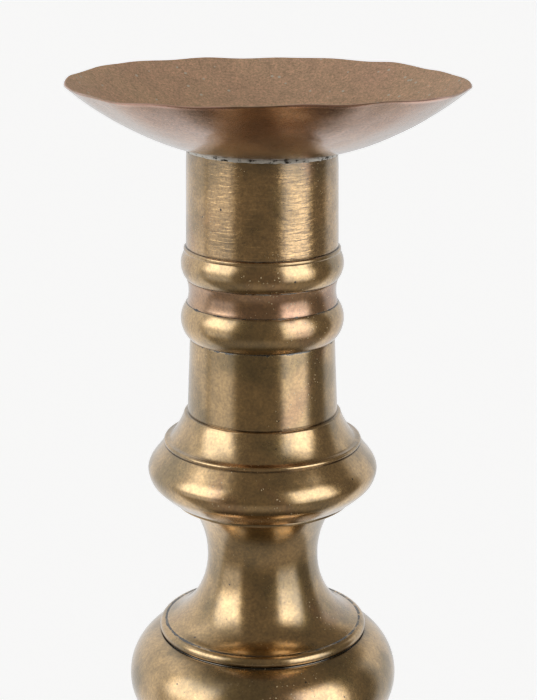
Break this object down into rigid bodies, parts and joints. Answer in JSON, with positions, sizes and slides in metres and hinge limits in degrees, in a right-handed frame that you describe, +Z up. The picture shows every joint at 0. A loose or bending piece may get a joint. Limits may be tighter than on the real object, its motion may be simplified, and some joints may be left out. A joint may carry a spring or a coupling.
{
  "type": "altar candlestick",
  "caption": "Tall turned-brass altar candlestick: round drip pan with an iron pricket, beaded neck, knops and a squat bulb on a domed base with bun feet, held together by a clamped rod.",
  "frame": {"origin": "on the floor under the axis of the base", "axes": "+Z up along the candlestick's axis, +X to the viewer's right when seen from the front, +Y away from the viewer"},
  "size_m": [0.2396, 0.2398, 0.7048],
  "materials": {
    "cast_brass": "turned, rubbed to a satin, aged",
    "beaten_brass": "beaten sheet, matte inside, speckled",
    "soft_solder": "dull grey, lumpy",
    "wrought_iron": "dark, lightly rusted"
  },
  "bodies": {
    "candlestick": {"pricket_rod": "wrought_iron", "pricket_washer": "cast_brass", "drip_pan": "beaten_brass", "pan_solder": "soft_solder", "neck_cap": "cast_brass", "neck_tube": "cast_brass", "upper_bead_ring": "cast_brass", "scotia_ring": "cast_brass", "lower_bead_ring": "cast_brass", "column_tube": "cast_brass", "knop_shoulder": "cast_brass", "knop_bowl": "cast_brass", "knop_underplate": "cast_brass", "upper_waist": "cast_brass", "bulb_collar": "cast_brass", "bulb_shell": "cast_brass", "bulb_underplate": "cast_brass", "lower_waist": "cast_brass", "lower_collar": "cast_brass", "lower_knop": "cast_brass", "base_collar": "cast_brass", "base_dome": "cast_brass", "base_rim": "cast_brass", "bun_foot_1": "cast_brass", "bun_foot_2": "cast_brass", "bun_foot_3": "cast_brass", "foot_stud_1": "wrought_iron", "foot_stud_2": "wrought_iron", "foot_stud_3": "wrought_iron", "foot_nut_1": "wrought_iron", "foot_nut_2": "wrought_iron", "foot_nut_3": "wrought_iron"},
    "clamp_bar": {"clamp_bar": "wrought_iron", "clamp_washer": "wrought_iron"},
    "clamp_nut": {"clamp_wing_nut": "wrought_iron"}
  },
  "joints": [
    {"name": "clamp_drop", "type": "slide", "parent": "candlestick", "child": "clamp_bar", "axis": [0, 0, -1], "range_m": [0, 0.0096]},
    {"name": "nut_turn", "type": "hinge", "parent": "clamp_bar", "child": "clamp_nut", "pos_m": [0, 0, 0.131], "axis": [0, 0, -1], "range_deg": [0, 2165]}
  ],
  "couplings": [
    {"joint": "nut_turn", "follows": "clamp_drop", "rad_per_m": 3927}
  ]
}
